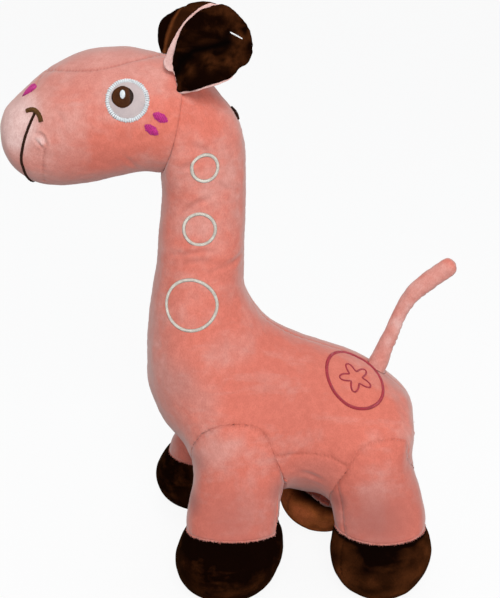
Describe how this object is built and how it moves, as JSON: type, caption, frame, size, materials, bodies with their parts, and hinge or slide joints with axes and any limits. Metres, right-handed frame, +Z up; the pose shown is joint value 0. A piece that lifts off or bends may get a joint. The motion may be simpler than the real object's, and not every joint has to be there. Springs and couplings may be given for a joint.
{
  "type": "plush giraffe",
  "caption": "Standing stuffed plush giraffe with sewn cloth panels over fibre filling, embroidered face and neck rings, rounded hooves, folding ears and a springy tail.",
  "frame": {"origin": "on the floor, under the middle of the whole giraffe", "axes": "+Z up, -X the way the giraffe looks, -Y its left side"},
  "size_m": [0.3322, 0.2122, 0.439],
  "materials": {
    "pink_plush": "short pile",
    "dark_brown_plush": "short pile",
    "fibre_filling": "loose fibre",
    "white_satin_thread": "satin stitch",
    "cream_satin_thread": "satin stitch",
    "magenta_satin_thread": "satin stitch",
    "brown_satin_thread": "satin stitch",
    "dark_red_thread": "satin stitch",
    "pale_felt": "felt",
    "fastener_plastic": "matt",
    "loop_cord": "braided"
  },
  "bodies": {
    "body": {"left_body_panel": "pink_plush", "right_body_panel": "pink_plush", "left_head_panel": "pink_plush", "right_head_panel": "pink_plush", "belly_gusset": "pink_plush", "head_top_gusset": "pink_plush", "left_front_leg_cover": "pink_plush", "right_front_leg_cover": "pink_plush", "left_hind_leg_cover": "pink_plush", "right_hind_leg_cover": "pink_plush", "left_front_hoof": "dark_brown_plush", "right_front_hoof": "dark_brown_plush", "left_hind_hoof": "dark_brown_plush", "right_hind_hoof": "dark_brown_plush", "torso_filling": "fibre_filling", "neck_filling": "fibre_filling", "head_filling": "fibre_filling", "left_front_leg_filling": "fibre_filling", "right_front_leg_filling": "fibre_filling", "left_hind_leg_filling": "fibre_filling", "right_hind_leg_filling": "fibre_filling", "left_eye_ring": "white_satin_thread", "left_eye_highlight": "white_satin_thread", "right_eye_ring": "white_satin_thread", "right_eye_highlight": "white_satin_thread", "left_neck_ring_top": "cream_satin_thread", "left_neck_ring_middle": "cream_satin_thread", "left_neck_ring_bottom": "cream_satin_thread", "right_neck_ring_top": "cream_satin_thread", "right_neck_ring_middle": "cream_satin_thread", "right_neck_ring_bottom": "cream_satin_thread", "left_cheek_mark_rear": "magenta_satin_thread", "left_cheek_mark_front": "magenta_satin_thread", "right_cheek_mark_rear": "magenta_satin_thread", "right_cheek_mark_front": "magenta_satin_thread", "nose": "magenta_satin_thread", "left_iris": "brown_satin_thread", "left_mouth_corner": "brown_satin_thread", "right_iris": "brown_satin_thread", "right_mouth_corner": "brown_satin_thread", "mouth_line": "brown_satin_thread", "flank_ring": "dark_red_thread", "flank_flower": "dark_red_thread", "left_eye_felt": "pale_felt", "right_eye_felt": "pale_felt", "hanging_loop": "loop_cord"},
    "left_ear": {"left_ear_front": "dark_brown_plush", "left_ear_back": "pink_plush", "tag_pin": "fastener_plastic"},
    "right_ear": {"right_ear_front": "dark_brown_plush", "right_ear_back": "pink_plush"},
    "tail": {"tail_cover": "pink_plush", "tail_filling": "fibre_filling"}
  },
  "joints": [
    {"name": "left_ear_fold", "type": "hinge", "parent": "body", "child": "left_ear", "pos_m": [-0.03971, -0.03559, 0.38466], "axis": [0.5465, -0.2401, -0.8023], "range_deg": [-30, 30], "stiffness_Nm_per_rad": 0.02},
    {"name": "right_ear_fold", "type": "hinge", "parent": "body", "child": "right_ear", "pos_m": [-0.04662, 0.00384, 0.39674], "axis": [0.8167, -0.5465, -0.1852], "range_deg": [-30, 30], "stiffness_Nm_per_rad": 0.02},
    {"name": "tail_bend", "type": "hinge", "parent": "body", "child": "tail", "pos_m": [0.1111, -0.00705, 0.16691], "axis": [0, 1, 0], "range_deg": [-30, 30], "stiffness_Nm_per_rad": 0.02}
  ]
}
